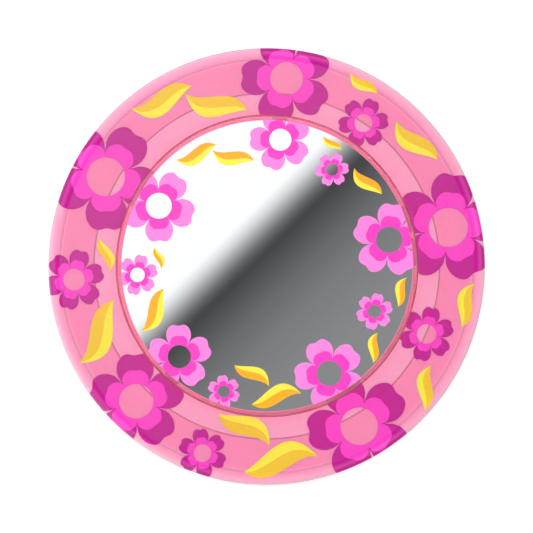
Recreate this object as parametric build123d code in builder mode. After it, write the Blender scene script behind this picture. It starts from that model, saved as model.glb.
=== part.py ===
"""Pocket mirror on a pop-out grip, carried by a round magnetic base.

The mirror faces +Z and the base's soft pad rests on the XY plane, with the
origin at the centre of the pad's underside. Everything is coaxial with Z.

From the bottom up, as it comes apart on a bench:

  base       a translucent shell closed by a back plate, with a ring of magnets
             in a tray between them and a soft ring pad taped underneath
  grip       a rubber accordion of three rigid walls and two thin flexures,
             nested in the base's well. Its foot swivels under the well's lip,
             and each flexure turns over to let one stage stand up
  top        a dished shell that carries the mirror, held to the accordion's
             crown by a bayonet that lets go after a quarter turn

All sizes are in millimetres, with the accordion folded flat. The two overall
radii come first. The grip's radii are worked out from the bayonet's sleeve
outwards, the magnet ring's from the base's outside inwards, and all heights
from the pad upwards.
"""

import os

from build123d import *

# ---- overall ----
BASE_RADIUS = 29.0
TOP_RADIUS = 20.0

# ---- bayonet: the top's sleeve and the crown that it turns in ----
SLEEVE_BORE = 5.0
SLEEVE_WALL = 0.85
SLEEVE_TIP = 0.2            # sleeve below its lugs
RUNNING_CLEARANCE = 0.08    # bayonet and swivel, on the radius
LUG_COUNT = 2
LUG_REACH = 0.9
LUG_THICKNESS = 1.0
LUG_ANGLE = 50.0
LUG_CLEARANCE = 0.1         # around a lug
NOTCH_MARGIN = 5.0          # degrees that a notch is wider than a lug, each side
CROWN_THICKNESS = 1.0
SKIRT_WALL = 0.65
TOOTH_COUNT = 12
TOOTH_WIDTH = 1.2
TOOTH_HEIGHT = 0.8
TOOTH_CLEARANCE = 0.1
PRESS_TRAVEL = 0.4          # from the folded crown down to the teeth

# ---- accordion ----
RUBBER_WALL = 0.8
RUBBER_FLEXURE = 0.5
WALL_LEAN = 0.5             # each wall comes in by this over its height
FLEXURE_LEAN = 1.6          # each folded flexure comes in by this on its way down
CREASE_GAP = 0.1            # between a flexure and the walls it joins
FOLD_TIP = 0.2              # rounding at a fold
GRIP_RISE = 0.6             # folded accordion above the base
FOOT_LEDGE = 0.38           # foot inside the lower wall
FOOT_THICKNESS = 0.6
AXIAL_CLEARANCE = 0.1       # foot to lip, and half of it foot to plate

# ---- base: plan ----
LIP_CLEARANCE = 0.25        # lower wall to lip
LIP_REACH = 1.05            # how far the collar's lip stands into the well
LIP_THICKNESS = 0.85
COLLAR_WALL = 1.0
TRAY_WALL = 0.45
TRAY_CLEARANCE = 0.05       # between the tray's walls and the magnets
MAGNET_WIDTH = 3.46
MAGNET_COUNT = 18
MAGNET_GAP = 0.25           # between neighbours
TRAY_TO_LEDGE = 0.2
PLATE_LEDGE = 0.4           # ledge inside the side wall that the plate meets
WALL = 1.0                  # roof and side wall of the shell
EDGE_WIDTH = 1.6            # how far the rounded edge comes in over the flat
EDGE_DROP = 2.4             # how far it comes down the side
WELL_EDGE_ROUND = 0.4
FOOT_EDGE_ROUND = 0.5       # lower outside edge of the shell

# ---- base: heights ----
PAD_THICKNESS = 0.5
TAPE_THICKNESS = 0.1
PLATE_THICKNESS = 0.8
MAGNET_THICKNESS = 1.8
SHUNT_THICKNESS = 0.4
TRAY_ROOF = 0.5

# ---- soft pad under the base ----
PAD_INSET = 1.3             # pad's outer edge inside the base's outside
PAD_LAP = 1.3               # pad's inner edge inside the well's wall
GROOVE_COUNT = 3
GROOVE_PITCH = 3.0
GROOVE_WIDTH = 0.6
GROOVE_DEPTH = 0.2

# ---- top ----
TOP_CLEARANCE = 0.3         # above the folded accordion
TOP_FLOOR = 1.1
TOP_EDGE_ROUND = 0.7
RIM_WIDTH = 0.6
RIM_HEIGHT = 0.2            # rim above the mirror's face
RIM_ROUND = 0.2
MIRROR_THICKNESS = 1.2
MIRROR_CLEARANCE = 0.05
MIRROR_BEVEL = 0.12
MIRROR_TAPE_INSET = 0.6

# ---- heights, from the pad upwards ----
plate_low = PAD_THICKNESS + TAPE_THICKNESS
plate_high = plate_low + PLATE_THICKNESS
magnet_low = plate_high + TAPE_THICKNESS
magnet_high = magnet_low + MAGNET_THICKNESS
shunt_high = magnet_high + SHUNT_THICKNESS
roof_low = shunt_high + TRAY_ROOF
base_high = roof_low + WALL
shoulder = base_high - EDGE_DROP

foot_low = plate_high + AXIAL_CLEARANCE / 2
crease_low = foot_low + FOOT_THICKNESS
crease_high = base_high + GRIP_RISE
lip_low = crease_low + AXIAL_CLEARANCE
lip_high = lip_low + LIP_THICKNESS

top_low = crease_high + TOP_CLEARANCE
floor_high = top_low + TOP_FLOOR
mirror_low = floor_high + TAPE_THICKNESS
mirror_high = mirror_low + MIRROR_THICKNESS
rim_high = mirror_high + RIM_HEIGHT

crown_low = crease_high - CROWN_THICKNESS
lug_high = crown_low - LUG_CLEARANCE
lug_low = lug_high - LUG_THICKNESS
sleeve_low = lug_low - SLEEVE_TIP
skirt_low = plate_high + TOOTH_HEIGHT + PRESS_TRAVEL

# ---- radii, from the sleeve outwards ----
sleeve_radius = SLEEVE_BORE + SLEEVE_WALL
crown_bore = sleeve_radius + RUNNING_CLEARANCE
lug_radius = sleeve_radius + LUG_REACH
skirt_bore = lug_radius + LUG_CLEARANCE
crown_radius = skirt_bore + SKIRT_WALL
tooth_radius = crown_radius - TOOTH_CLEARANCE
tooth_middle = (skirt_bore + tooth_radius) / 2
tooth_length = tooth_radius - skirt_bore

# Outside radii of the accordion's walls and flexures at their low ends.
upper_wall_radius = crown_radius + RUBBER_WALL + WALL_LEAN
upper_flexure_radius = upper_wall_radius + CREASE_GAP + RUBBER_FLEXURE
middle_wall_radius = (
    upper_flexure_radius + FLEXURE_LEAN + CREASE_GAP + RUBBER_WALL + WALL_LEAN
)
lower_flexure_radius = middle_wall_radius + CREASE_GAP + RUBBER_FLEXURE
lower_wall_radius = (
    lower_flexure_radius + FLEXURE_LEAN + CREASE_GAP + RUBBER_WALL + WALL_LEAN
)

lip_bore = lower_wall_radius + LIP_CLEARANCE
well_radius = lip_bore + LIP_REACH
collar_radius = well_radius + COLLAR_WALL
foot_radius = well_radius - RUNNING_CLEARANCE
foot_bore = lower_wall_radius - RUBBER_WALL - FOOT_LEDGE

# ---- radii, from the base's outside inwards ----
edge_radius = BASE_RADIUS - EDGE_WIDTH
plate_radius = BASE_RADIUS - WALL
ledge_bore = plate_radius - PLATE_LEDGE
tray_radius = ledge_bore - TRAY_TO_LEDGE
channel_radius = tray_radius - TRAY_WALL
magnet_radius = channel_radius - TRAY_CLEARANCE
magnet_bore = magnet_radius - MAGNET_WIDTH
channel_bore = magnet_bore - TRAY_CLEARANCE
tray_bore = channel_bore - TRAY_WALL
pad_radius = BASE_RADIUS - PAD_INSET
pad_bore = well_radius - PAD_LAP

pocket_radius = TOP_RADIUS - RIM_WIDTH
mirror_radius = pocket_radius - MIRROR_CLEARANCE

print(
    f"folded {rim_high:.2f}, each stage {2 * (crease_high - crease_low):.2f}, "
    f"free between collar and tray {tray_bore - collar_radius:.2f}"
)


def flat_ring(bore, radius, low, high):
    """A square-edged ring between two radii and two heights, in the open block."""
    with BuildSketch(Plane.XY.offset(low)) as ring:
        Circle(radius)
        Circle(bore, mode=Mode.SUBTRACT)
    extrude(ring.sketch, amount=high - low)


def cone_ring(name, low_radius, high_radius, thickness, fold_end):
    """A leaning ring from crease to crease, by its outside radii at both ends.

    The end that fold_end points to is rounded, because a fold runs along it.
    """
    with BuildPart() as ring:
        with BuildSketch(Plane.XZ):
            with BuildLine():
                Polyline(
                    (low_radius, crease_low),
                    (high_radius, crease_high),
                    (high_radius - thickness, crease_high),
                    (low_radius - thickness, crease_low),
                    close=True,
                )
            make_face()
        revolve(axis=Axis.Z)
        fillet(ring.edges().group_by(fold_end)[-1], FOLD_TIP)
    ring.part.label = name
    return ring


def lug_sectors(height, middle, angle, inner, outer):
    """The sketch of a ring sector for each lug, the first one centred on middle."""
    with BuildSketch(Plane.XY.offset(height)) as every_lug:
        for number in range(LUG_COUNT):
            start = middle + number * 360 / LUG_COUNT - angle / 2
            with BuildLine():
                outside = CenterArc((0, 0), outer, start, angle)
                inside = CenterArc((0, 0), inner, start, angle)
                Line(outside @ 0, inside @ 0)
                Line(outside @ 1, inside @ 1)
            make_face()
    return every_lug.sketch


# ---- base ----
with BuildPart() as grip_pad:
    flat_ring(pad_bore, pad_radius, 0, PAD_THICKNESS)
    for step in range(GROOVE_COUNT):
        offset_from_middle = (step - (GROOVE_COUNT - 1) / 2) * GROOVE_PITCH
        groove = (pad_bore + pad_radius) / 2 + offset_from_middle
        with BuildSketch():
            Circle(groove + GROOVE_WIDTH / 2)
            Circle(groove - GROOVE_WIDTH / 2, mode=Mode.SUBTRACT)
        extrude(amount=GROOVE_DEPTH, mode=Mode.SUBTRACT)
grip_pad.part.label = "grip_pad"

with BuildPart() as pad_tape:
    flat_ring(pad_bore, pad_radius, PAD_THICKNESS, plate_low)
pad_tape.part.label = "pad_tape"

with BuildPart() as back_plate:
    with BuildSketch(Plane.XY.offset(plate_low)):
        Circle(plate_radius)
    extrude(amount=PLATE_THICKNESS)
    # Upright teeth that hold the crown still while the top is pressed and turned.
    with BuildSketch(Plane.XY.offset(plate_high)):
        with PolarLocations(tooth_middle, TOOTH_COUNT):
            Rectangle(tooth_length, TOOTH_WIDTH)
    extrude(amount=TOOTH_HEIGHT)
back_plate.part.label = "back_plate"

with BuildPart() as magnet_tray:
    flat_ring(tray_bore, tray_radius, plate_high, roof_low)
    with BuildSketch(Plane.XY.offset(plate_high)):
        Circle(channel_radius)
        Circle(channel_bore, mode=Mode.SUBTRACT)
    extrude(amount=shunt_high - plate_high, mode=Mode.SUBTRACT)
magnet_tray.part.label = "magnet_tray"

with BuildPart() as magnet_tape:
    flat_ring(magnet_bore, magnet_radius, plate_high, magnet_low)
magnet_tape.part.label = "magnet_tape"

with BuildPart() as magnet_segments:
    flat_ring(magnet_bore, magnet_radius, magnet_low, magnet_high)
    # Radial slits part the ring into its separate magnets.
    with BuildSketch(Plane.XY.offset(magnet_low)):
        with PolarLocations((magnet_bore + magnet_radius) / 2, MAGNET_COUNT):
            Rectangle(2 * MAGNET_WIDTH, MAGNET_GAP)
    extrude(amount=MAGNET_THICKNESS, mode=Mode.SUBTRACT)
magnet_segments.part.label = "magnet_segments"

with BuildPart() as shunt_ring:
    flat_ring(magnet_bore, magnet_radius, magnet_high, shunt_high)
shunt_ring.part.label = "shunt_ring"

with BuildPart() as base_shell:
    with BuildSketch(Plane.XZ):
        with BuildLine():
            edge = TangentArc(
                (BASE_RADIUS, shoulder), (edge_radius, base_high), tangent=(0, 1)
            )
            inside = Polyline(
                edge @ 1,
                (well_radius, base_high),
                (well_radius, lip_high),
                (lip_bore, lip_high),
                (lip_bore, lip_low),
                (well_radius, lip_low),
                (well_radius, plate_high),
                (collar_radius, plate_high),
                (collar_radius, roof_low),
                (ledge_bore, roof_low),
                (ledge_bore, plate_high),
                (plate_radius, plate_high),
                (plate_radius, plate_low),
                (BASE_RADIUS, plate_low),
            )
            Line(inside @ 1, edge @ 0)
        make_face()
    revolve(axis=Axis.Z)
    rims = base_shell.edges().filter_by(GeomType.CIRCLE).group_by(Axis.Z)
    well_mouth = rims[-1].sort_by(SortBy.RADIUS)[0]
    side_foot = rims[0].sort_by(SortBy.RADIUS)[-1]
    fillet(well_mouth, WELL_EDGE_ROUND)
    fillet(side_foot, FOOT_EDGE_ROUND)
base_shell.part.label = "base_shell"

# ---- grip ----
with BuildPart() as accordion_foot:
    flat_ring(foot_bore, foot_radius, foot_low, crease_low)
accordion_foot.part.label = "accordion_foot"

lower_wall = cone_ring(
    "lower_wall", lower_wall_radius, lower_wall_radius - WALL_LEAN, RUBBER_WALL, Axis.Z
)
lower_flexure = cone_ring(
    "lower_flexure",
    lower_flexure_radius,
    lower_flexure_radius + FLEXURE_LEAN,
    RUBBER_FLEXURE,
    -Axis.Z,
)
middle_wall = cone_ring(
    "middle_wall", middle_wall_radius, middle_wall_radius - WALL_LEAN, RUBBER_WALL, Axis.Z
)
upper_flexure = cone_ring(
    "upper_flexure",
    upper_flexure_radius,
    upper_flexure_radius + FLEXURE_LEAN,
    RUBBER_FLEXURE,
    -Axis.Z,
)

with BuildPart() as upper_wall:
    with BuildSketch(Plane.XZ):
        with BuildLine():
            Polyline(
                (crown_radius, crease_low),
                (upper_wall_radius, crease_low),
                (upper_wall_radius - WALL_LEAN, crease_high),
                (crown_radius, crease_high),
                close=True,
            )
        make_face()
    revolve(axis=Axis.Z)
upper_wall.part.label = "upper_wall"

with BuildPart() as crown_hub:
    flat_ring(crown_bore, crown_radius, crown_low, crease_high)
    flat_ring(skirt_bore, crown_radius, skirt_low, crown_low)
    # The notches pass the top's lugs once it has been turned half way between two.
    notch_angle = LUG_ANGLE + 2 * NOTCH_MARGIN
    half_way = 180 / LUG_COUNT
    notches = lug_sectors(crown_low, half_way, notch_angle, sleeve_radius, skirt_bore)
    extrude(notches, amount=CROWN_THICKNESS, mode=Mode.SUBTRACT)
    # Castellations that the plate's teeth drop into when the top is pressed.
    with BuildSketch(Plane.XY.offset(skirt_low)):
        with PolarLocations(tooth_middle, TOOTH_COUNT):
            Rectangle(2 * SKIRT_WALL, TOOTH_WIDTH + 2 * TOOTH_CLEARANCE)
    extrude(amount=TOOTH_HEIGHT, mode=Mode.SUBTRACT)
crown_hub.part.label = "crown_hub"

# ---- top ----
with BuildPart() as top_shell:
    with BuildSketch(Plane.XY.offset(top_low)):
        Circle(TOP_RADIUS)
    extrude(amount=rim_high - top_low)
    fillet(top_shell.edges().group_by(Axis.Z)[0], TOP_EDGE_ROUND)
    fillet(top_shell.edges().group_by(Axis.Z)[-1], RIM_ROUND)
    with BuildSketch(Plane.XY.offset(floor_high)):
        Circle(pocket_radius)
    extrude(amount=rim_high - floor_high, mode=Mode.SUBTRACT)
    flat_ring(SLEEVE_BORE, sleeve_radius, sleeve_low, top_low)
    lugs = lug_sectors(lug_low, 0, LUG_ANGLE, SLEEVE_BORE + SLEEVE_WALL / 2, lug_radius)
    extrude(lugs, amount=LUG_THICKNESS)
top_shell.part.label = "top_shell"

with BuildPart() as mirror_tape:
    with BuildSketch(Plane.XY.offset(floor_high)):
        Circle(mirror_radius - MIRROR_TAPE_INSET)
    extrude(amount=TAPE_THICKNESS)
mirror_tape.part.label = "mirror_tape"

with BuildPart() as mirror_disc:
    with BuildSketch(Plane.XY.offset(mirror_low)):
        Circle(mirror_radius)
    extrude(amount=MIRROR_THICKNESS)
    chamfer(mirror_disc.edges().group_by(Axis.Z)[-1], MIRROR_BEVEL)
mirror_disc.part.label = "mirror_disc"

# ---- one STEP file per piece ----
os.makedirs("parts", exist_ok=True)
for piece in (
    grip_pad,
    pad_tape,
    back_plate,
    magnet_tray,
    magnet_tape,
    magnet_segments,
    shunt_ring,
    base_shell,
    accordion_foot,
    lower_wall,
    lower_flexure,
    middle_wall,
    upper_flexure,
    upper_wall,
    crown_hub,
    top_shell,
    mirror_tape,
    mirror_disc,
):
    export_step(piece.part, f"parts/{piece.part.label}.step")
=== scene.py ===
"""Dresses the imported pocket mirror: printed base, silvered mirror, rubber accordion, studio.

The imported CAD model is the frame. Shapes that are turned about the mirror's axis are
lathed with Geometry Nodes from profiles in metres, and the printed blossoms and leaves
are pressed into a thin ink film that follows the surface they are printed on.
"""

import math

import bmesh
import bpy
from bpy.props import FloatProperty, FloatVectorProperty, IntProperty, PointerProperty
from bpy.types import Operator, Panel, PropertyGroup
from mathutils import Matrix, Vector


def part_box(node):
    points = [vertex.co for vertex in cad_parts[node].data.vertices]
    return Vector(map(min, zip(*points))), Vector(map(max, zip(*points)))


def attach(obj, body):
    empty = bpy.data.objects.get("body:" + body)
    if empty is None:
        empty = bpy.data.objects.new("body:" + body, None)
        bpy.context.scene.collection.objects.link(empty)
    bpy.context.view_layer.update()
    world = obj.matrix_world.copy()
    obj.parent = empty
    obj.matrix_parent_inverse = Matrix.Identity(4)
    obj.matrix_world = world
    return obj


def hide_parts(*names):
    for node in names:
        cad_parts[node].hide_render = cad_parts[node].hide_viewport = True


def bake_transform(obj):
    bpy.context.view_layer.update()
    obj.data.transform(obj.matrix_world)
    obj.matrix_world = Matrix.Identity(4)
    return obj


bl_info = {
    "name": "Pocket mirror on a pop-out grip",
    "version": (1, 0, 0),
    "blender": (4, 5, 0),
    "location": "View3D > Sidebar > Pocket mirror",
    "description": "Builds the visible pieces, finishes and studio around the packed model",
    "category": "Object",
}

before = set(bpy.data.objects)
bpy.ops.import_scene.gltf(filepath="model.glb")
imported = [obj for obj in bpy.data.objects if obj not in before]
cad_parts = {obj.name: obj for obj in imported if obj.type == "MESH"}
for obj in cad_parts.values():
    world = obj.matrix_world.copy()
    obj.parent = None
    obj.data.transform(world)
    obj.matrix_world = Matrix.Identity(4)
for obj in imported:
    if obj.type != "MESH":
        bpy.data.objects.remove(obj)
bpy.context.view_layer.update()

MM = 0.001
# The circle that profiles are swept along.
HUB = 10 * MM
# Points of a grown mesh closer than this are one point, and faces that meet at more
# than this angle meet at an edge.
WELD = 1e-7
CREASE_ANGLE = math.radians(15)
# Most of a noise texture lies between these values.
NOISE_LOW, NOISE_HIGH = 0.3, 0.7
# Turns a grey level as seen on a screen into light.
SCREEN_GAMMA = 2.2


def linear(hex_colour):
    """An sRGB hex colour as linear red, green and blue."""
    channels = [int(hex_colour[i : i + 2], 16) / 255 for i in (0, 2, 4)]
    return tuple(c / 12.92 if c <= 0.04045 else ((c + 0.055) / 1.055) ** 2.4 for c in channels)


def outside(node):
    """A CAD node's outside radius, in metres."""
    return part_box(node)[1][0]


def bottom(node):
    """The height of a CAD node's underside, in metres."""
    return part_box(node)[0][2]


def top(node):
    """The height of a CAD node's upper side, in metres."""
    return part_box(node)[1][2]


# ---- properties


def length(name, description, size_mm):
    """A length that a user can change, with its default in millimetres."""
    return FloatProperty(
        name=name, description=description, default=size_mm * MM, unit="LENGTH", precision=6
    )


def colour(name, description, hex_colour):
    """A colour that a user can change, with its default in sRGB hex."""
    return FloatVectorProperty(
        name=name, description=description, default=linear(hex_colour), subtype="COLOR"
    )


def count(name, description, default, least):
    """A whole number that a user can change."""
    return IntProperty(name=name, description=description, default=default, min=least)


class ShellSizes(PropertyGroup):
    """Sizes of the base shell that the CAD boxes don't give."""

    edge_width: length("Edge width", "How far the rounded edge comes in over the flat", 1.6)
    edge_drop: length("Edge drop", "How far the rounded edge comes down the side", 2.4)
    foot_round: length("Lower edge round", "Radius of the shell's lower outside edge", 0.5)
    wall: length("Wall", "Collar of the shell round its well", 1.0)
    well_round: length("Well edge round", "Radius of the well's upper edge", 0.4)
    foot_clearance: length("Foot clearance", "Running clearance round the swivel foot", 0.08)
    lip_gap: length("Lip gap", "Running clearance between the foot and the lip over it", 0.1)
    lip_clearance: length("Lip clearance", "Gap between the lip and the lower wall", 0.25)
    lip_thickness: length("Lip thickness", "Height of the lip that holds the foot down", 0.85)
    lip_round: length("Lip round", "Radius of the lip's two edges", 0.15)
    tray_clearance: length("Tray clearance", "Gap outside the magnet tray", 0.2)
    tray_bore: length("Tray bore", "Inside radius of the magnet tray, seen through the roof", 22.94)
    tooth: length("Tooth height", "Height of the back plate's teeth over its disc", 0.8)
    turns: count("Segments", "Segments of a turned piece", 256, 32)


class TopSizes(PropertyGroup):
    """Sizes of the mirror in its dished top."""

    arris: length("Mirror arris", "Bevel left on the mirror's cut edge", 0.02)
    bare_edge: length("Bare edge", "Rim of the mirror that the silver doesn't reach", 0.12)
    tape_gap: length("Tape gap", "Hair of air over and under the mirror's tape", 0.01)


class PrintSizes(PropertyGroup):
    """Sizes of the printed blossoms and leaves."""

    film: length("Ink film", "Height of the cured ink above the surface", 0.02)
    sink: length("Ink key", "Depth to which the ink keys into the surface", 0.01)
    steep_end: length("Print end", "Height over the shoulder where the print stops", 0.1)
    well_margin: length("Well margin", "From the well's rounded edge to the print", 0.1)
    mirror_margin: length("Mirror margin", "From the mirror's edge to its print", 0.03)
    mirror_bare: length("Mirror middle", "Radius in the mirror's middle without print", 3.0)
    petals: count("Petals", "Petals of a large blossom", 5, 3)
    small_petals: count("Petals, small", "Petals of a small blossom", 6, 3)
    mirror_share: FloatProperty(
        name="Mirror print scale",
        description="Size of the mirror's print, as a share of the base's",
        default=0.67,
        min=0.1,
        max=1.0,
        subtype="FACTOR",
    )


class AccordionSizes(PropertyGroup):
    """Sizes of the rubber walls and flexures."""

    wall: length("Wall", "Thickness of a wall", 0.8)
    wall_lean: length("Wall lean", "How far a wall leans in from its foot to its top", 0.5)
    wall_round: length("Wall round", "Radius of a wall's outer edges", 0.2)
    flexure: length("Flexure", "Thickness of a flexure", 0.5)
    flexure_lean: length("Flexure lean", "How much wider a flexure is at its top", 1.6)
    lap: length("Flexure lap", "How far a flexure laps into the walls it joins", 0.13)


class UndersideSizes(PropertyGroup):
    """Sizes of the grooved pad."""

    lap: length("Pad lap", "How far the pad laps in under the well's wall", 1.3)
    groove_width: length("Groove width", "Width of a groove in the pad", 0.6)
    groove_depth: length("Groove depth", "Depth of a groove in the pad", 0.2)
    groove_pitch: length("Groove pitch", "From one groove to the next", 3.0)
    grooves: count("Grooves", "Grooves in the pad", 3, 1)


class Colours(PropertyGroup):
    """Colours of the pieces, as linear values."""

    shell: colour("Shell", "Tinted shell", "ff8bb3")
    clear: colour("Clear top", "Tinted clear top", "fdaec4")
    rubber: colour("Accordion", "Rubber walls and flexures", "f48bb2")
    acetal: colour("Foot and crown", "Moulded acetal parts", "f3a9c4")
    pad: colour("Pad", "Silicone pad", "f7b3cb")
    plate: colour("Back plate", "Frosted back plate", "f59abb")
    petal: colour("Petal", "Outer petals on the base", "be0c8b")
    heart: colour("Heart", "Inner petals on the base", "f43abd")
    leaf_dark: colour("Leaf", "Darker leaf half on the base", "ebbe2a")
    leaf_light: colour("Leaf, light", "Lighter leaf half on the base", "f1e03c")
    mirror_petal: colour("Mirror petal", "Outer petals on the mirror", "ff84db")
    mirror_heart: colour("Mirror heart", "Inner petals on the mirror", "ff34c0")
    mirror_leaf_dark: colour("Mirror leaf", "Darker leaf half on the mirror", "ffae02")
    mirror_leaf_light: colour("Mirror leaf, light", "Lighter leaf half on the mirror", "ffea3f")


class StudioSizes(PropertyGroup):
    """Camera and light."""

    distance: length("Camera distance", "From the camera to the base's shoulder", 1000)
    view_width: length("View width", "Width that the view takes in at the shoulder", 70.8)
    sky: FloatProperty(name="Sky light", description="Strength of the sky light", default=2.6)
    key: FloatProperty(
        name="Key light", description="Power of the key softbox", default=5.85, unit="POWER"
    )


# ---- building blocks


def add(tree, kind, inputs=(), stops=(), **settings):
    """Adds a node to a tree, with its settings, its links and its input values.

    Inputs are given by name, or as a list in their order. A node given as an input is
    linked by its first output in use. The stops of a colour ramp are places and linear
    colours.
    """
    node = tree.nodes.new(kind)
    for name, value in settings.items():
        setattr(node, name, value)
    for name, value in inputs.items() if isinstance(inputs, dict) else enumerate(inputs):
        socket = node.inputs[name]
        for item in value if isinstance(value, list) else [value]:
            if isinstance(item, bpy.types.Node):
                item = next(output for output in item.outputs if output.enabled)
            if isinstance(item, bpy.types.NodeSocket):
                tree.links.new(item, socket)
            else:
                socket.default_value = item
    if stops:
        elements = node.color_ramp.elements
        while len(elements) < len(stops):
            elements.new(0.5)
        for element, (place, shade) in zip(elements, stops, strict=True):
            element.position = place
            element.color = (*shade, 1)
    return node


def empty_tree(owner):
    """The node tree of a material or a world, emptied."""
    owner.use_nodes = True
    owner.node_tree.nodes.clear()
    return owner.node_tree


def node_tree(name, inputs):
    """A Geometry Nodes tree with named inputs, and its group input's sockets."""
    tree = bpy.data.node_groups.new(name, "GeometryNodeTree")
    for label, kind, default in inputs:
        socket = tree.interface.new_socket(label, in_out="INPUT", socket_type="NodeSocket" + kind)
        if default is not None:
            socket.default_value = default
    tree.interface.new_socket("Geometry", in_out="OUTPUT", socket_type="NodeSocketGeometry")
    return tree, tree.nodes.new("NodeGroupInput").outputs


def end_tree(tree, geometry, material):
    """Ends a tree in Realize Instances and Set Material."""
    real = add(tree, "GeometryNodeRealizeInstances", {"Geometry": geometry})
    done = add(tree, "GeometryNodeSetMaterial", {"Geometry": real, "Material": material})
    add(tree, "NodeGroupOutput", {"Geometry": done})


def new_object(name, data):
    """Links a new object at the origin."""
    made = bpy.data.objects.new(name, data)
    bpy.context.scene.collection.objects.link(made)
    return made


def grown(name, tree, seed_mesh, values):
    """Runs a tree on a seed mesh and returns the result as a plain mesh object."""
    carrier = new_object(name + "_seed", seed_mesh)
    modifier = carrier.modifiers.new("grow", "NODES")
    modifier.node_group = tree
    sockets = {s.name: s.identifier for s in tree.interface.items_tree if s.in_out == "INPUT"}
    for label, value in values.items():
        modifier[sockets[label]] = value
    evaluated = carrier.evaluated_get(bpy.context.evaluated_depsgraph_get())
    mesh = bpy.data.meshes.new_from_object(evaluated)
    carrier.modifiers.remove(modifier)
    bpy.data.objects.remove(carrier)
    bpy.data.meshes.remove(seed_mesh)
    if not mesh.polygons:
        raise RuntimeError(f"{name}: the tree made no faces")
    work = bmesh.new()
    work.from_mesh(mesh)
    bmesh.ops.remove_doubles(work, verts=work.verts, dist=WELD)
    bmesh.ops.dissolve_degenerate(work, edges=work.edges, dist=WELD)
    loose = [edge for edge in work.edges if not edge.link_faces]
    bmesh.ops.delete(work, geom=loose, context="EDGES")
    bmesh.ops.recalc_face_normals(work, faces=work.faces)
    open_edges = sum(not edge.is_manifold for edge in work.edges)
    work.to_mesh(mesh)
    work.free()
    mesh.shade_smooth()
    mesh.set_sharp_from_angle(angle=CREASE_ANGLE)
    mesh.name = name
    print(f"{name}: {len(mesh.polygons)} faces, {open_edges} open edges")
    return new_object(name, mesh)


def dress(made, body, node):
    """Lets a piece ride on a body and stand for a CAD node."""
    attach(made, body)
    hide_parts(node)


# ---- turned pieces


def lathe_tree():
    """Revolves a closed profile about Z. The profile's X is radius less hub, its Y is -Z."""
    tree, given = node_tree(
        "lathe",
        (
            ("Profile", "Geometry", None),
            ("Hub", "Float", HUB),
            ("Segments", "Int", None),
            ("Finish", "Material", None),
        ),
    )
    around = {"Resolution": given["Segments"], "Radius": given["Hub"]}
    circle = add(tree, "GeometryNodeCurvePrimitiveCircle", around)
    profile = add(tree, "GeometryNodeMeshToCurve", {"Mesh": given["Profile"]})
    swept = add(tree, "GeometryNodeCurveToMesh", {"Curve": circle, "Profile Curve": profile})
    end_tree(tree, swept, given["Finish"])
    return tree


def soften(corners, steps=9):
    """A profile with rounded corners. A corner is (radius, height) or (radius, height, round).

    A point a little beyond each end of a round keeps the flat beside it flat.
    """
    beyond = 1.15
    points = []
    for i, corner in enumerate(corners):
        here = Vector(corner[:2])
        size = corner[2] if len(corner) > 2 else 0
        if not size:
            points.append(here)
            continue
        back = (Vector(corners[i - 1][:2]) - here).normalized()
        ahead = (Vector(corners[(i + 1) % len(corners)][:2]) - here).normalized()
        half = back.angle(ahead) / 2
        centre = here + (back + ahead).normalized() * size / math.sin(half)
        reach = size / math.tan(half)
        first = here + back * reach - centre
        last = here + ahead * reach - centre
        turn = first.angle(last)
        points.append(here + back * reach * beyond)
        for step in range(steps + 1):
            share = step / steps
            blend = first * math.sin((1 - share) * turn) + last * math.sin(share * turn)
            points.append(centre + blend / math.sin(turn))
        points.append(here + ahead * reach * beyond)
    return points


def divided(points, longest):
    """A closed profile whose straight runs are cut into steps no longer than this."""
    cut = []
    for i, point in enumerate(points):
        following = points[(i + 1) % len(points)]
        steps = max(1, math.ceil((following - point).length / longest))
        cut += [point.lerp(following, step / steps) for step in range(steps)]
    return cut


def lathed(name, points, material, segments=256):
    """A turned piece from a closed profile of (radius, height) points."""
    mesh = bpy.data.meshes.new(name)
    corners = [(p[0] - HUB, -p[1], 0) for p in points]
    last = len(corners)
    mesh.from_pydata(corners, [(i, (i + 1) % last) for i in range(last)], [])
    tree = bpy.data.node_groups.get("lathe") or lathe_tree()
    return grown(name, tree, mesh, {"Segments": segments, "Finish": material})


def edge_arc(radius, height, width, drop, lift=0.0, stop=0.0, steps=32):
    """The rounded edge from its foot on the side up to the flat, moved outwards by lift."""
    bend = (width**2 + drop**2) / (2 * width)
    centre = Vector((radius - bend, height - drop))
    first = math.asin(stop / bend)
    last = math.asin(drop / bend)
    turns = [first + (last - first) * i / steps for i in range(steps + 1)]
    return [centre + (bend + lift) * Vector((math.cos(a), math.sin(a))) for a in turns]


# ---- finishes


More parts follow.
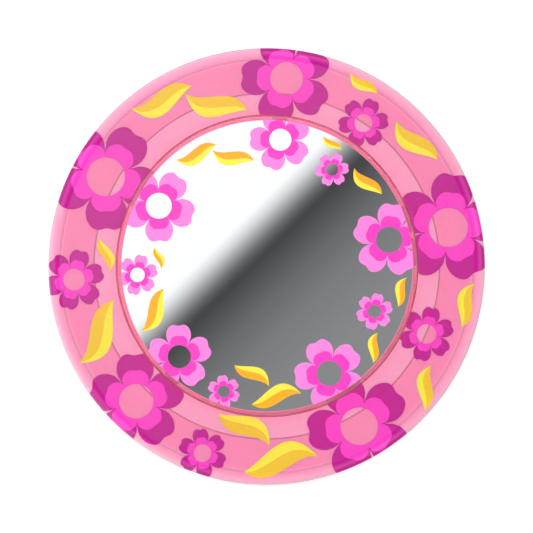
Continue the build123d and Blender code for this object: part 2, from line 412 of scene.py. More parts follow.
def finish(name, tone, roughness, grain_mm=0.3, vary=0.04, bump=0.03, **shader):
    """A Principled material with grain in its colour, roughness and surface.

    The real texture of such faces is too fine to show, so the grain is drawn coarser.
    Returns the material, its tree, the shader and the node that gives its grained colour.
    """
    made = bpy.data.materials.new(name)
    tree = empty_tree(made)
    place = add(tree, "ShaderNodeTexCoord").outputs["Object"]
    grain = add(
        tree,
        "ShaderNodeTexNoise",
        {"Vector": place, "Scale": 1 / (grain_mm * MM), "Detail": 3.0, "Roughness": 0.6},
    )
    # A slow drift in tone, as of a thicker or thinner wall.
    drift_width = 9 * MM
    cast = add(
        tree, "ShaderNodeTexNoise", {"Vector": place, "Scale": 1 / drift_width, "Detail": 2.0}
    )
    spread, drift, rough = (
        add(
            tree,
            "ShaderNodeMapRange",
            {
                "Value": noise,
                "From Min": NOISE_LOW,
                "From Max": NOISE_HIGH,
                "To Min": low,
                "To Max": high,
            },
        )
        for noise, low, high in (
            (grain, -vary, vary),
            (cast, 1 - vary / 2, 1 + vary / 2),
            (grain, roughness * 0.85, roughness * 1.15),
        )
    )
    level = add(tree, "ShaderNodeMath", [spread, drift], operation="ADD")
    tinted = add(
        tree, "ShaderNodeVectorMath", {0: tuple(tone), "Scale": level}, operation="SCALE"
    )
    relief = add(
        tree,
        "ShaderNodeBump",
        {"Height": grain, "Strength": 1.0, "Distance": bump * grain_mm * MM},
    )
    body = add(
        tree,
        "ShaderNodeBsdfPrincipled",
        {"Base Color": tinted, "Roughness": rough, "Normal": relief, **shader},
    )
    add(tree, "ShaderNodeOutputMaterial", {"Surface": body})
    return made, tree, body, tinted


def paint(material, *nodes):
    """Gives CAD nodes one finish."""
    for node in nodes:
        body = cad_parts[node]
        for place in body.material_slots:
            place.material = material
        if not body.material_slots:
            body.data.materials.append(material)


def radial_ramp(tree, edge, stops):
    """Hex colours by the distance from the mirror's axis, in metres and up to an edge."""
    place = add(tree, "ShaderNodeTexCoord").outputs["Object"]
    flat = add(tree, "ShaderNodeVectorMath", [place, (1, 1, 0)], operation="MULTIPLY")
    radius = add(tree, "ShaderNodeVectorMath", [flat], operation="LENGTH")
    share = add(tree, "ShaderNodeMath", [radius, edge], operation="DIVIDE")
    shares = [(place / edge, linear(shade)) for place, shade in stops]
    return add(tree, "ShaderNodeValToRGB", {"Fac": share}, shares)


def tone_and_painted_light_by_radius(parts, plain, edge, stops):
    """Turns a finish from its plain hex colour into others by the distance from the axis."""
    tree, body, tinted = parts
    ramp = radial_ramp(tree, edge, stops)
    ratio = add(tree, "ShaderNodeVectorMath", [ramp, linear(plain)], operation="DIVIDE")
    mixed = add(tree, "ShaderNodeVectorMath", [tinted, ratio], operation="MULTIPLY")
    tree.links.new(mixed.outputs[0], body.inputs["Base Color"])


def shell_material(tone, tray_bore):
    """Tinted polycarbonate, injection moulded with a polished face.

    The eye sees a soft pink body with light inside it and a paler band where there is no
    magnet tray behind the roof. Painted by radius on top of that: a dark line of shade at
    the tray's inner edge, a highlight and a dark line of shade where the rounded edge
    starts over the tray's outside, a paler painted glow out over the rounded edge, and a
    little painted shade just beside the top's rim.
    """
    made, *parts = finish(
        "tinted_polycarbonate",
        tone,
        0.11,
        grain_mm=0.25,
        vary=0.035,
        bump=0.012,
        IOR=1.585,
        **{
            "Subsurface Weight": 0.6,
            "Subsurface Radius": (1.0, 0.45, 0.6),
            "Subsurface Scale": 1.4 * MM,
        },
    )
    edge, tray = outside("base_shell"), outside("magnet_tray")
    # Millimetres out from the tray's bore, the tray's outside and the shell's edge.
    stops = (
        # Just beside the top's rim the pink is a little darker: painted shade.
        (tray_bore, -2.94, "fb9cbd"),
        (tray_bore, -1.74, "ffa2c3"),
        (tray_bore, -0.087, "ffa2c3"),
        # A dark line at the tray's inner edge: painted shade.
        (tray_bore, -0.058, "a66064"),
        (tray_bore, 0.029, "a66064"),
        (tray_bore, 0.064, "ff8bb3"),
        (tray, -0.300, "ff8bb3"),
        # Where the rounded edge starts over the tray's outside: a painted highlight, then a dark
        # line of painted shade.
        (tray, -0.215, "ffa2c4"),
        (tray, -0.130, "f78fb4"),
        (tray, -0.080, "d5829e"),
        (tray, 0.058, "dc87a3"),
        (tray, 0.261, "fd94b6"),
        # Paler out over the rounded edge towards the silhouette: painted light.
        (edge, -0.70, "fe9bbd"),
        (edge, -0.40, "ffa6c2"),
        (edge, -0.15, "ffbfd1"),
        (edge, -0.08, "ffbfd1"),
        (edge, -0.04, "fc9cbe"),
    )
    tone_and_painted_light_by_radius(parts, "ff8bb3", edge, [(start + out * MM, c) for start, out, c in stops])
    return made


# ---- print


def petal_outline(tree, angle, petals, waist, notch, size):
    """A closed outline with rounded, notched petals round the origin.

    The radius is size x (waist + (1 - waist) x sqrt(c) - notch x c^14), where c is the
    absolute cosine of half the petals' angle.
    """
    half = add(tree, "ShaderNodeMath", [petals, 2.0], operation="DIVIDE")
    turned = add(tree, "ShaderNodeMath", [angle, half], operation="MULTIPLY")
    wave = add(tree, "ShaderNodeMath", [turned], operation="COSINE")
    crest = add(tree, "ShaderNodeMath", [wave], operation="ABSOLUTE")
    round_tip = add(tree, "ShaderNodeMath", [crest, 0.5], operation="POWER")
    spread = add(tree, "ShaderNodeMath", [1.0, waist], operation="SUBTRACT")
    lobe = add(tree, "ShaderNodeMath", [round_tip, spread, waist], operation="MULTIPLY_ADD")
    sharp_tip = add(tree, "ShaderNodeMath", [crest, 14.0], operation="POWER")
    cut = add(tree, "ShaderNodeMath", [sharp_tip, notch], operation="MULTIPLY")
    net = add(tree, "ShaderNodeMath", [lobe, cut], operation="SUBTRACT")
    radius = add(tree, "ShaderNodeMath", [net, size], operation="MULTIPLY")
    cosine = add(tree, "ShaderNodeMath", [angle], operation="COSINE")
    sine = add(tree, "ShaderNodeMath", [angle], operation="SINE")
    way = add(tree, "ShaderNodeCombineXYZ", [cosine, sine])
    return add(tree, "ShaderNodeVectorMath", {0: way, "Scale": radius}, operation="SCALE")


def circle_points(tree, sides):
    """A circle curve and the angle of each of its points."""
    circle = add(tree, "GeometryNodeCurvePrimitiveCircle", {"Resolution": sides, "Radius": 1.0})
    along = add(tree, "GeometryNodeSplineParameter").outputs["Factor"]
    return circle, add(tree, "ShaderNodeMath", [along, math.tau], operation="MULTIPLY")


def pressed(tree, given, curves):
    """Fills curves, raises them to upright stamps on the points and keeps what is in the film."""
    joined = add(tree, "GeometryNodeJoinGeometry", {"Geometry": curves})
    filled = add(tree, "GeometryNodeFillCurve", {"Curve": joined}, mode="TRIANGLES")
    raised = add(
        tree,
        "GeometryNodeExtrudeMesh",
        {
            "Mesh": filled,
            "Offset": (0, 0, 1),
            "Offset Scale": given["Height"],
            "Individual": False,
        },
        mode="FACES",
    )
    under = add(tree, "GeometryNodeFlipFaces", {"Mesh": filled})
    stamp = add(tree, "GeometryNodeJoinGeometry", {"Geometry": [raised, under]})
    closed = add(tree, "GeometryNodeMergeByDistance", {"Geometry": stamp, "Distance": 1e-6})
    turn, size = (
        add(tree, "GeometryNodeInputNamedAttribute", {"Name": name}, data_type="FLOAT")
        for name in ("turn", "size")
    )
    spun = add(tree, "ShaderNodeCombineXYZ", {2: turn})
    stamps = add(
        tree,
        "GeometryNodeInstanceOnPoints",
        {
            "Points": given["Places"],
            "Instance": closed,
            "Rotation": add(tree, "FunctionNodeEulerToRotation", {"Euler": spun}),
            "Scale": add(tree, "ShaderNodeCombineXYZ", [size, size, 1.0]),
        },
    )
    real = add(tree, "GeometryNodeRealizeInstances", {"Geometry": stamps})
    film = add(tree, "GeometryNodeObjectInfo", {"Object": given["Film"]}).outputs["Geometry"]
    ink = add(
        tree,
        "GeometryNodeMeshBoolean",
        {"Mesh 2": [real, film]},
        operation="INTERSECT",
        solver="MANIFOLD",
    )
    end_tree(tree, ink, given["Ink"])


# A stamp stands from the table to well above the film.
COMMON_INPUTS = (
    ("Places", "Geometry", None),
    ("Film", "Object", None),
    ("Ink", "Material", None),
    ("Height", "Float", 20 * MM),
    ("Sides", "Int", 180),
)


def blossom_tree():
    """Rings of petals: what lies between an outer petal outline and an inner one."""
    tree, given = node_tree(
        "blossom_print",
        COMMON_INPUTS
        + (
            ("Petals", "Int", None),
            ("Waist", "Float", 0.46),
            ("Notch", "Float", 0.09),
            ("Inner size", "Float", HEART),
            ("Inner waist", "Float", 0.62),
            ("Inner notch", "Float", 0.05),
        ),
    )
    curves = []
    for size, waist, notch in (
        (1.0, given["Waist"], given["Notch"]),
        (given["Inner size"], given["Inner waist"], given["Inner notch"]),
    ):
        circle, angle = circle_points(tree, given["Sides"])
        outline = petal_outline(tree, angle, given["Petals"], waist, notch, size)
        moved = {"Geometry": circle, "Position": outline}
        curves.append(add(tree, "GeometryNodeSetPosition", moved))
    pressed(tree, given, curves)
    return tree


def leaf_tree():
    """Leaf halves: from a bowed midrib out to one pointed, rounded side."""
    tree, given = node_tree(
        "leaf_print",
        COMMON_INPUTS
        + (
            ("Left width", "Float", None),
            ("Right width", "Float", None),
            ("Bow", "Float", 0.1),
            ("Sway", "Float", 0.35),
        ),
    )
    circle, angle = circle_points(tree, given["Sides"])
    cosine = add(tree, "ShaderNodeMath", [angle], operation="COSINE")
    along = add(tree, "ShaderNodeMath", [cosine, 0.5], operation="MULTIPLY")
    across = add(tree, "ShaderNodeMath", [angle], operation="SINE")
    widths = []
    for label, side in (("Left width", "MAXIMUM"), ("Right width", "MINIMUM")):
        half = add(tree, "ShaderNodeMath", [across, 0.0], operation=side)
        bulge = add(tree, "ShaderNodeMath", [half, half], operation="MULTIPLY")
        wide = add(tree, "ShaderNodeMath", [bulge, given[label]], operation="MULTIPLY")
        widths.append(wide)
    width = add(tree, "ShaderNodeMath", [widths[0], widths[1]], operation="SUBTRACT")
    # Both the bow and the sway vanish at the tips.
    square = add(tree, "ShaderNodeMath", [along, along], operation="MULTIPLY")
    fade = add(tree, "ShaderNodeMath", [square, -4.0, 1.0], operation="MULTIPLY_ADD")
    bend = add(
        tree, "ShaderNodeMath", [along, given["Sway"], given["Bow"]], operation="MULTIPLY_ADD"
    )
    height = add(tree, "ShaderNodeMath", [fade, bend, width], operation="MULTIPLY_ADD")
    outline = add(tree, "ShaderNodeCombineXYZ", [along, height])
    moved = {"Geometry": circle, "Position": outline}
    pressed(tree, given, [add(tree, "GeometryNodeSetPosition", moved)])
    return tree


def places(name, motifs, scale):
    """Seed points for motifs given as (angle, radius, size, turn), in degrees and mm."""
    mesh = bpy.data.meshes.new(name)
    corners = []
    for angle, radius, _, _ in motifs:
        out = Vector((math.cos(math.radians(angle)), math.sin(math.radians(angle)), 0))
        corners.append(out * radius * scale * MM)
    mesh.from_pydata(corners, [], [])
    turn = mesh.attributes.new("turn", "FLOAT", "POINT")
    turn.data.foreach_set("value", [math.radians(m[0] + m[3]) for m in motifs])
    size = mesh.attributes.new("size", "FLOAT", "POINT")
    size.data.foreach_set("value", [m[2] * scale * MM for m in motifs])
    return mesh


# The layout of the print, as (angle round the disc, radius, size, turn from radial).
# A blossom's size is its radius and a leaf's its length, in mm.
LARGE_BLOSSOMS = (
    (12, 24.6, 7.6, 0),
    (84, 25.0, 6.4, 22),
    (151, 24.4, 7.5, 48),
    (226, 24.9, 6.7, 10),
    (300, 24.5, 7.3, 30),
)
SMALL_BLOSSOMS = (
    (56, 22.9, 3.5, 10),
    (184, 25.6, 4.2, 12),
    (251, 26.2, 3.4, 25),
    (337, 23.0, 3.8, 40),
)
LEAVES = (
    (40, 26.0, 7.5, 96),
    (62, 27.5, 4.5, 80),
    (107, 22.8, 8.5, 58),
    (122, 26.4, 8.5, 78),
    (176, 21.6, 4.5, 110),
    (201, 24.2, 9.5, 40),
    (262, 21.9, 8.0, 66),
    (274, 26.3, 10.0, 98),
    (323, 26.8, 6.0, 118),
    (349, 27.2, 6.0, 84),
)
# The inner ring of petals and the bare core, as shares of a blossom's radius.
HEART = 0.64
CORE = 0.34


def print_motifs(prefix, body, film, scale, sizes, inks):
    """Presses petals, hearts and both leaf halves into a film that rides on a body."""
    blossoms = bpy.data.node_groups.get("blossom_print") or blossom_tree()
    leaves = bpy.data.node_groups.get("leaf_print") or leaf_tree()
    # A heart fits inside the outer petals and has a round core.
    hearts = {
        "Waist": 0.62,
        "Notch": 0.05,
        "Inner size": CORE / HEART,
        "Inner waist": 1.0,
        "Inner notch": 0.0,
    }
    jobs = []
    for label, motifs, number in (
        ("large", LARGE_BLOSSOMS, sizes.petals), ("small", SMALL_BLOSSOMS, sizes.small_petals)
    ):
        inner = [(angle, radius, size * HEART, turn) for angle, radius, size, turn in motifs]
        jobs += [
            (f"{label}_petals", blossoms, motifs, {"Petals": number}, "petal"),
            (f"{label}_hearts", blossoms, inner, {"Petals": number, **hearts}, "heart"),
        ]
    for label, left, right in (("leaf_dark", 0.0, 0.19), ("leaf_light", 0.15, 0.0)):
        values = {"Left width": left, "Right width": right}
        jobs.append((label, leaves, LEAVES, values, label))
    for label, tree, motifs, values, ink in jobs:
        name = f"{prefix}_{label}"
        values |= {"Film": film, "Ink": inks[ink]}
        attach(grown(name, tree, places(name, motifs, scale), values), body)


# ---- operators


class MIRROR_OT_base_shell(Operator):
    """Turn the rubber walls and the flexures between them"""

    bl_idname = "pocket_mirror.base_shell"
    bl_label = "Base shell"

    def execute(self, context):
        sizes = context.scene.mirror_shell
        film = context.scene.mirror_print.film
        edge = outside("base_shell") - film
        low = bottom("base_shell")
        high = top("base_shell") - film
        well = outside("accordion_foot") + sizes.foot_clearance
        collar = well + sizes.wall
        lip_bore = outside("lower_wall") + sizes.lip_clearance
        lip_low = top("accordion_foot") + sizes.lip_gap
        lip_high = lip_low + sizes.lip_thickness
        pocket = outside("magnet_tray") + sizes.tray_clearance
        roof = top("magnet_tray")
        plate = outside("back_plate")
        plate_high = top("back_plate") - sizes.tooth
        arc = edge_arc(edge, high, sizes.edge_width, sizes.edge_drop)
        rest = soften(
            (
                tuple(arc[-1]),
                (well, high, sizes.well_round),
                (well, lip_high),
                (lip_bore, lip_high, sizes.lip_round),
                (lip_bore, lip_low, sizes.lip_round),
                (well, lip_low),
                (well, plate_high),
                (collar, plate_high),
                (collar, roof),
                (pocket, roof),
                (pocket, plate_high),
                (plate, plate_high),
                (plate, low),
                (edge, low, sizes.foot_round),
                tuple(arc[0]),
            )
        )
        material = shell_material(context.scene.mirror_colours.shell, sizes.tray_bore)
        made = lathed("base_shell_turned", arc + rest[1:-1], material, sizes.turns)
        dress(made, "base", "base_shell")
        return {"FINISHED"}


class MIRROR_OT_top(Operator):
    """Finish the dished top and turn the mirror in it"""

    bl_idname = "pocket_mirror.top"
    bl_label = "Top and mirror"

    def execute(self, context):
        self.clear(context.scene.mirror_colours.clear)
        self.mirror(context.scene.mirror_top)
        return {"FINISHED"}

    def clear(self, tone):
        """Clear tinted polycarbonate, polished.

        Its rim lets the print below show through in pink. Near its outer wall it is painted
        darker: partly the deeper tint along the wall, partly painted shade from beneath the top
        seen through it. At the very edge it is a little paler again.
        """
        made, *parts = finish(
            "clear_tinted_polycarbonate",
            tone,
            0.04,
            grain_mm=0.4,
            vary=0.02,
            bump=0.001,
            IOR=1.5,
            **{"Transmission Weight": 0.9},
        )
        wall = outside("top_shell")
        # Millimetres in from the outer wall.
        # The darker band is partly deeper tint and partly painted shade.
        stops = ((0.29, "ffb2ce"), (0.15, "f2687f"), (0.07, "f2687f"), (0.02, "f990b0"))
        tone_and_painted_light_by_radius(parts, "fdaec4", wall, [(wall - deep * MM, c) for deep, c in stops])
        # Lamps shine through it, so that the print beside and below the rim stays lit.
        tree, body, _ = parts
        # Shares of red, green and blue lamplight that get through, not a colour that is seen.
        let_through = (1.0, 0.96, 0.98, 1)
        passed = add(tree, "ShaderNodeBsdfTransparent", {"Color": let_through})
        lamp_ray = add(tree, "ShaderNodeLightPath").outputs["Is Shadow Ray"]
        mixed = add(tree, "ShaderNodeMixShader", [lamp_ray, body, passed])
        shown = next(node for node in tree.nodes if node.type == "OUTPUT_MATERIAL")
        tree.links.new(mixed.outputs[0], shown.inputs["Surface"])
        paint(made, "top_shell")

    def mirror(self, sizes):
        """Silvered acrylic, cut and polished: a neutral mirror under a hard clear face.

        The silver stops just short of the cut edge, where the tinted pocket shows.
        """
        low, high = bottom("mirror_disc"), top("mirror_disc")
        edge = outside("mirror_disc")
        made, tree, body, _ = finish(
            "silvered_acrylic",
            linear("fbfcfc"),
            0.01,
            grain_mm=2.0,
            vary=0.003,
            bump=0.0,
            Metallic=1.0,
        )
        silver = edge - sizes.bare_edge
        fade = 0.01 * MM
        for socket, inner, outer in (
            ("Metallic", "ffffff", "000000"), ("Base Color", "fbfcfc", "ee7096")
        ):
            ramp = radial_ramp(tree, edge, ((silver, inner), (silver + fade, outer)))
            tree.links.new(ramp.outputs[0], body.inputs[socket])
        arris = sizes.arris
        corners = ((0, low), (edge, low), (edge, high - arris), (edge - arris, high), (0, high))
        disc = lathed("mirror_disc_cut", corners, made)
        dress(disc, "top", "mirror_disc")


class MIRROR_OT_print(Operator):
    """Print the blossoms and leaves on the base and on the mirror"""

    bl_idname = "pocket_mirror.print"
    bl_label = "Print"

    def execute(self, context):
        shell = context.scene.mirror_shell
        sizes = context.scene.mirror_print
        edge = outside("base_shell") - sizes.film
        high = top("base_shell") - sizes.film
        well = outside("accordion_foot") + shell.foot_clearance
        start = well + shell.well_round + sizes.well_margin
        upper, lower = (
            edge_arc(edge, high, shell.edge_width, shell.edge_drop, lift, sizes.steep_end)
            + [Vector((start, high + lift))]
            for lift in (sizes.film, -sizes.sink)
        )
        self.press(context, "base", "base", upper + lower[::-1], 1.0)
        reach = outside("mirror_disc") - sizes.mirror_margin
        low, high = (top("mirror_disc") + lift for lift in (-sizes.sink, sizes.film))
        inner = sizes.mirror_bare
        profile = ((reach, low), (reach, high), (inner, high), (inner, low))
        self.press(context, "mirror", "top", profile, sizes.mirror_share)
        return {"FINISHED"}

    def press(self, context, prefix, body, profile, scale):
        """Prints one surface: the film is only there to press the motifs into."""
        colours = context.scene.mirror_colours
        shades = "mirror_" if prefix == "mirror" else ""
        inks = {}
        for motif in ("petal", "heart", "leaf_dark", "leaf_light"):
            # Ultraviolet-cured ink, jetted on: opaque and glossy, with a faint grain.
            inks[motif] = finish(
                f"cured_ink_{shades}{motif}",
                getattr(colours, shades + motif),
                0.11,
                grain_mm=0.25,
                vary=0.05,
                bump=0.012,
                IOR=1.6,
            )[0]
        film = lathed(prefix + "_film", profile, None)
        print_motifs(prefix, body, film, scale, context.scene.mirror_print, inks)
        bpy.data.objects.remove(film)


class MIRROR_OT_accordion(Operator):
    """Turn the rubber walls and the flexures that fold between them"""

    bl_idname = "pocket_mirror.accordion"
    bl_label = "Accordion"

    def execute(self, context):
        sizes = context.scene.mirror_accordion
        colours = context.scene.mirror_colours
        # Thermoplastic rubber, moulded with a fine spark-eroded texture: soft and matt.
        rubber = finish(
            "thermoplastic_rubber", colours.rubber, 0.55, grain_mm=0.18, vary=0.05, bump=0.08
        )[0]
        for node, body, inner in (
            ("lower_wall", "foot", None),
            ("middle_wall", "middle", None),
            ("upper_wall", "crown", outside("crown_hub")),
        ):
            low, high = bottom(node), top(node)
            outer_low = outside(node)
            outer_high = outer_low - sizes.wall_lean
            bore_low = inner or outer_low - sizes.wall
            bore_high = inner or outer_high - sizes.wall
            points = soften(
                (
                    (outer_low, low, sizes.wall_round),
                    (outer_high, high, sizes.wall_round),
                    (bore_high, high, sizes.wall_round / 2),
                    (bore_low, low, sizes.wall_round / 2),
                )
            )
            dress(lathed(node + "_moulded", points, rubber), body, node)
        for node, upper_body, lower_body in (
            ("lower_flexure", "foot", "middle"), ("upper_flexure", "middle", "crown")
        ):
            made = lathed(node + "_moulded", self.flexure(node, sizes), rubber)
            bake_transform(made)
            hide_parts(node)
        # Acetal, moulded: slippery and slightly waxy.
        acetal = finish("acetal", colours.acetal, 0.35, grain_mm=0.3, vary=0.03, bump=0.03)[0]
        paint(acetal, "accordion_foot", "crown_hub")
        return {"FINISHED"}

    def flexure(self, node, sizes):
        """A leaning flexure between its creases, lapping into the walls at both ends."""
        low, high = bottom(node), top(node)
        wide = outside(node)
        narrow = wide - sizes.flexure_lean
        thick, lap = sizes.flexure, sizes.lap
        # The creases thicken over the first and the last tenth.
        tenth_in, tenth_up = (wide - narrow) * 0.1, (high - low) * 0.1
        crisp, blunt, longest = 0.12 * MM, 0.2 * MM, 0.2 * MM
        corners = (
            (narrow, low, crisp),
            (wide - tenth_in, high - tenth_up),
            (wide + lap, high, crisp),
            (wide - thick, high, blunt),
            (narrow - thick + tenth_in, low + tenth_up),
            (narrow - thick - lap, low, blunt),
        )
        return divided(soften(corners, steps=6), longest)


class MIRROR_OT_underside(Operator):
    """Turn the grooved silicone pad and finish the back plate"""

    bl_idname = "pocket_mirror.underside"
    bl_label = "Underside"

    def execute(self, context):
        sizes = context.scene.mirror_underside
        colours = context.scene.mirror_colours
        # Silicone rubber, moulded: matt, slightly translucent and dust-dry to the touch.
        silicone = finish(
            "silicone_rubber", colours.pad, 0.5, grain_mm=0.25, vary=0.04, bump=0.06
        )[0]
        outer = outside("grip_pad")
        well = outside("accordion_foot") + context.scene.mirror_shell.foot_clearance
        bore = well - sizes.lap
        low, high = bottom("grip_pad"), top("grip_pad")
        blunt, crisp = 0.15 * MM, 0.05 * MM
        corners = [
            (outer, low, blunt), (outer, high, crisp), (bore, high, crisp), (bore, low, blunt)
        ]
        floor, side = low + sizes.groove_depth, sizes.groove_width / 2
        for number in range(sizes.grooves):
            out = (number - (sizes.grooves - 1) / 2) * sizes.groove_pitch
            groove = (bore + outer) / 2 + out
            corners += [
                (groove - side, low, crisp),
                (groove - side, floor, crisp),
                (groove + side, floor, crisp),
                (groove + side, low, crisp),
            ]
        made = lathed("grip_pad_moulded", soften(corners, steps=6), silicone)
        dress(made, "base", "grip_pad")
        # Polycarbonate with an eroded, frosted face.
        frosted = finish(
            "frosted_polycarbonate", colours.plate, 0.4, grain_mm=0.2, vary=0.04, bump=0.08
        )[0]
        paint(frosted, "back_plate")
        return {"FINISHED"}


class MIRROR_OT_inside(Operator):
    """Finish the magnets, their tray, the steel ring and the tapes"""

    bl_idname = "pocket_mirror.inside"
    bl_label = "Inside"

    def execute(self, context):
        # ABS, moulded: satin.
        paint(finish("abs_tray", linear("f7a6c0"), 0.4, grain_mm=0.3)[0], "magnet_tray")
        # Sintered magnet blocks, nickel plated: bright, faintly mottled.
        nickel = finish("nickel_plate", linear("c9c4bb"), 0.22, grain_mm=0.5, Metallic=1.0)[0]
        paint(nickel, "magnet_segments")
        # Low-carbon steel, cold rolled and tin plated: greyer, with a satin drag.
        tinned = finish("tinned_steel", linear("b9bcc0"), 0.34, grain_mm=0.35, Metallic=1.0)[0]
        paint(tinned, "shunt_ring")
        # Acrylic foam tape, die cut: milky, with a dry edge.
        tape = finish("acrylic_foam_tape", linear("efe6e4"), 0.6, grain_mm=0.2, bump=0.1)[0]
        paint(tape, "pad_tape", "magnet_tape")
        # Under the mirror it shows through the clear top, so it stands a hair off its floor.
        gap = context.scene.mirror_top.tape_gap
        low, high = bottom("mirror_tape") + gap, top("mirror_tape") - gap
        edge = outside("mirror_tape")
        made = lathed("mirror_tape_cut", ((0, low), (edge, low), (edge, high), (0, high)), tape)
        dress(made, "top", "mirror_tape")
        return {"FINISHED"}


def greys(levels, cast=(1, 1, 1)):
    """Colour ramp stops from places and grey levels, with a slight cast."""
    return [(place, [level * part for part in cast]) for place, level in levels]


class MIRROR_OT_stage(Operator):
    """Lay the floor, set the lamp and the sky, and place the camera"""

    bl_idname = "pocket_mirror.stage"
    bl_label = "Studio"

    def execute(self, context):
        studio = context.scene.mirror_studio
        context.scene.view_settings.view_transform = "Standard"
        self.floor()
        self.lamp(studio)
        self.sky(studio, self.camera(context, studio))
        return {"FINISHED"}

    def floor(self):
        """A plain pale sheet that shows white from above and nothing from below."""
        mesh = bpy.data.meshes.new("floor")
        half, gap = 0.6, 0.02 * MM
        low = bottom("grip_pad") - gap
        corners = [(-half, -half, low), (half, -half, low), (half, half, low), (-half, half, low)]
        mesh.from_pydata(corners, [], [(0, 1, 2, 3)])
        new_object("floor", mesh)
        paper = bpy.data.materials.new("white_sweep")
        tree = empty_tree(paper)
        fibre_length = 0.8 * MM
        # Spread over the whole sheet, 1.2 m across, so a fibre comes out 0.96 mm long.
        fibre = add(tree, "ShaderNodeTexNoise", {"Scale": 1 / fibre_length})
        pale = add(tree, "ShaderNodeMapRange", {"Value": fibre, "To Min": 0.48, "To Max": 0.52})
        sheet = add(tree, "ShaderNodeBsdfDiffuse", {"Color": pale})
        glow = add(tree, "ShaderNodeEmission", {"Strength": 0.56})
        lit = add(tree, "ShaderNodeAddShader", [sheet, glow])
        clear = add(tree, "ShaderNodeBsdfTransparent")
        seen = add(tree, "ShaderNodeLightPath").outputs["Is Camera Ray"]
        below = add(tree, "ShaderNodeNewGeometry").outputs["Backfacing"]
        above = add(tree, "ShaderNodeMath", [1.0, below], operation="SUBTRACT")
        shown = add(tree, "ShaderNodeMath", [seen, above], operation="MULTIPLY")
        mixed = add(tree, "ShaderNodeMixShader", [shown, clear, lit])
        add(tree, "ShaderNodeOutputMaterial", {"Surface": mixed})
        mesh.materials.append(paper)

    def lamp(self, studio):
        """One softbox almost overhead, a little to the view's top and left."""
        light = bpy.data.lights.new("key_softbox", "AREA")
        light.shape = "RECTANGLE"
        light.size = 0.28
        light.size_y = 0.24
        light.energy = studio.key
        made = new_object("key_softbox", light)
        made.location = (-0.03, 0.06, 0.90)
        made.rotation_euler = (-made.location).to_track_quat("-Z", "Y").to_euler()
        made.visible_glossy = False

    def camera(self, context, studio):
        """A long lens almost straight above, under a degree towards the view's lower left."""
        lens = bpy.data.cameras.new("camera")
        lens.sensor_width = 36
        lens.lens = lens.sensor_width * studio.distance / studio.view_width
        lens.clip_start = 0.01
        lens.clip_end = 10
        made = new_object("camera", lens)
        shoulder = top("base_shell") - context.scene.mirror_shell.edge_drop
        off_centre = -0.02 * MM
        aim = Vector((off_centre, off_centre, shoulder))
        leftward, downward = math.radians(0.56), math.radians(0.7)
        back = Vector((-math.tan(leftward), -math.tan(downward), 1)).normalized()
        made.location = aim + back * studio.distance
        right = Vector((0, 1, 0)).cross(back).normalized()
        made.rotation_euler = Matrix((right, back.cross(right), back)).transposed().to_euler()
        context.scene.camera = made
        return made

    def sky(self, studio, camera):
        """White to look at, a soft room for light, and panels for what shines."""
        world = bpy.data.worlds.new("studio")
        bpy.context.scene.world = world
        tree = empty_tree(world)
        way = add(tree, "ShaderNodeTexCoord").outputs["Generated"]
        rise = add(tree, "ShaderNodeSeparateXYZ", [way]).outputs["Z"]
        whole = {"From Min": -1.0, "From Max": 1.0}
        upward = add(tree, "ShaderNodeMapRange", {"Value": rise, **whole})
        panel = self.overhead(tree, way, rise, camera)
        walls = self.walls(tree, way, rise, upward)
        shine = add(tree, "ShaderNodeVectorMath", [panel, walls], operation="MULTIPLY")
        glossy = add(tree, "ShaderNodeBackground", {"Color": shine, "Strength": 1.08})
        # The light comes mostly from low down all round, and a little more from the left.
        levels = ((0.10, 0.26), (0.26, 0.34), (0.36, 0.60), (0.44, 0.88), (0.50, 1.0))
        levels += ((0.58, 0.46), (0.68, 0.12))
        glow = add(tree, "ShaderNodeValToRGB", {"Fac": upward}, greys(levels))
        sideways = (-0.98, 0.2, 0)
        left = add(tree, "ShaderNodeVectorMath", [way, sideways], operation="DOT_PRODUCT")
        shares = {"To Min": 0.90, "To Max": 1.16}
        sided = add(tree, "ShaderNodeMapRange", {"Value": left, **whole, **shares})
        strength = add(tree, "ShaderNodeMath", [sided, studio.sky], operation="MULTIPLY")
        room = add(tree, "ShaderNodeBackground", {"Color": glow, "Strength": strength})
        path = add(tree, "ShaderNodeLightPath").outputs
        lit = add(tree, "ShaderNodeMixShader", [path["Is Glossy Ray"], room, glossy])
        white = add(tree, "ShaderNodeBackground", {"Color": (1, 1, 1, 1), "Strength": 1.0})
        seen = add(
            tree,
            "ShaderNodeMath",
            [path["Is Camera Ray"], path["Is Transmission Ray"]],
            operation="MAXIMUM",
        )
        shown = add(tree, "ShaderNodeMixShader", [seen, lit, white])
        add(tree, "ShaderNodeOutputWorld", {"Surface": shown})

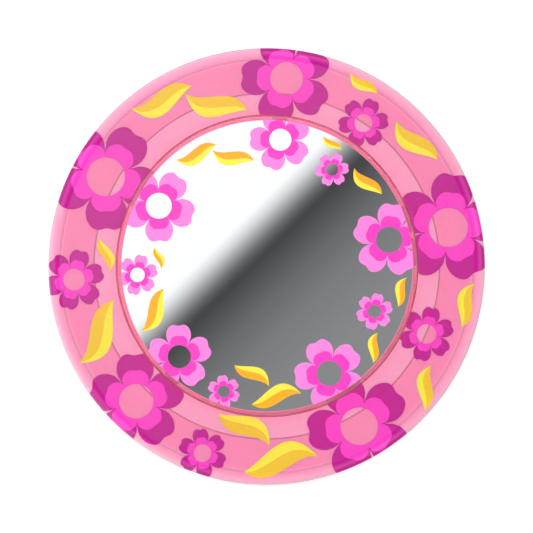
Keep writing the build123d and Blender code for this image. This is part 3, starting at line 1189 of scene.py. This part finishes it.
    def overhead(self, tree, way, rise, camera):
        """The panels overhead that the mirror shows: white, then a grey that grows paler.

        The grey starts along a line that crosses the mirror. On the mirror, the slope of a
        direction is the place along that crossing over the camera's height.
        """
        across, least_rise = Vector((0.698, -0.716, 0)), 0.001
        run = add(tree, "ShaderNodeVectorMath", [way, tuple(across)], operation="DOT_PRODUCT")
        risen = add(tree, "ShaderNodeMath", [rise, least_rise], operation="MAXIMUM")
        slope = add(tree, "ShaderNodeMath", [run, risen], operation="DIVIDE")
        tall = camera.location.z - top("mirror_disc")
        place = add(
            tree,
            "ShaderNodeMath",
            [slope, tall, camera.location.dot(across)],
            operation="MULTIPLY_ADD",
        )
        crossing = {"From Min": -8 * MM, "From Max": 20 * MM}
        near = add(tree, "ShaderNodeMapRange", {"Value": place, **crossing})
        levels = ((0.05, 1.0), (0.096, 0.86), (0.189, 0.40), (0.232, 0.268), (0.30, 0.328))
        levels += ((0.40, 0.405), (0.55, 0.48), (0.80, 0.527))
        cool = (1, 1.006, 1.018)
        ramp = add(tree, "ShaderNodeValToRGB", {"Fac": near}, greys(levels, cool))
        tone = add(tree, "ShaderNodeGamma", {"Color": ramp, "Gamma": SCREEN_GAMMA})
        # Far out it is white again.
        outer = {"From Min": 0.03, "From Max": 0.22, "To Max": 0.75}
        far = add(tree, "ShaderNodeMapRange", {"Value": slope, **outer})
        return add(tree, "ShaderNodeVectorMath", [tone, far], operation="ADD")

    def walls(self, tree, way, rise, upward):
        """What the rounded edges shine with, from straight down to straight up.

        Floor, dark skirting, bright band at the horizon, dark wall and white panel, and a
        pale card towards the view's left, low enough for the steep edge alone.
        """
        levels = ((0.0, 0.55), (0.20, 0.35), (0.28, 0.45), (0.36, 0.95), (0.50, 0.86))
        levels += ((0.60, 0.74), (0.66, 0.42), (0.78, 0.40), (0.84, 0.98))
        room = add(tree, "ShaderNodeValToRGB", {"Fac": upward}, greys(levels))
        plain = add(tree, "ShaderNodeGamma", {"Color": room, "Gamma": SCREEN_GAMMA})
        to_card, along_card = (-0.906, -0.423, 0), (0.423, -0.906, 0)
        towards, beside = (
            add(tree, "ShaderNodeVectorMath", [way, axis], operation="DOT_PRODUCT")
            for axis in (to_card, along_card)
        )
        turned = add(tree, "ShaderNodeMath", [beside, towards], operation="ARCTAN2")
        off = add(tree, "ShaderNodeMath", [turned], operation="ABSOLUTE")
        # At most half as bright as white, fading between these turns from its middle, in radians.
        sides = {"From Min": 0.35, "From Max": 0.9, "To Min": 0.5, "To Max": 0.0}
        within = add(tree, "ShaderNodeMapRange", {"Value": off, **sides})
        heights = {"From Min": -0.3, "From Max": -0.7}
        below = add(tree, "ShaderNodeMapRange", {"Value": rise, **heights})
        card = add(tree, "ShaderNodeMath", [within, below], operation="MULTIPLY")
        return add(tree, "ShaderNodeVectorMath", [plain, card], operation="ADD")


PIECES = (
    MIRROR_OT_base_shell,
    MIRROR_OT_top,
    MIRROR_OT_print,
    MIRROR_OT_accordion,
    MIRROR_OT_underside,
    MIRROR_OT_inside,
    MIRROR_OT_stage,
)
GROUPS = {
    "mirror_shell": ShellSizes,
    "mirror_top": TopSizes,
    "mirror_print": PrintSizes,
    "mirror_accordion": AccordionSizes,
    "mirror_underside": UndersideSizes,
    "mirror_colours": Colours,
    "mirror_studio": StudioSizes,
}


class MIRROR_PT_panel(Panel):
    """Lists the pieces and their sizes"""

    bl_label = "Pocket mirror"
    bl_idname = "MIRROR_PT_panel"
    bl_space_type = "VIEW_3D"
    bl_region_type = "UI"
    bl_category = "Pocket mirror"

    def draw(self, context):
        for group in GROUPS:
            box = self.layout.box()
            settings = getattr(context.scene, group)
            for name in settings.__annotations__:
                box.prop(settings, name)
        for piece in PIECES:
            self.layout.operator(piece.bl_idname)


CLASSES = (*GROUPS.values(), *PIECES, MIRROR_PT_panel)


def register():
    """Registers the settings, the operators and the panel."""
    for kind in CLASSES:
        bpy.utils.register_class(kind)
    for name, kind in GROUPS.items():
        setattr(bpy.types.Scene, name, PointerProperty(type=kind))


def unregister():
    """Takes away all that register adds."""
    for name in GROUPS:
        delattr(bpy.types.Scene, name)
    for kind in reversed(CLASSES):
        bpy.utils.unregister_class(kind)


def main():
    """Builds every piece and the studio."""
    register()
    for piece in PIECES:
        getattr(bpy.ops.pocket_mirror, piece.bl_idname.split(".")[1])()


if __name__ == "__main__":
    main()
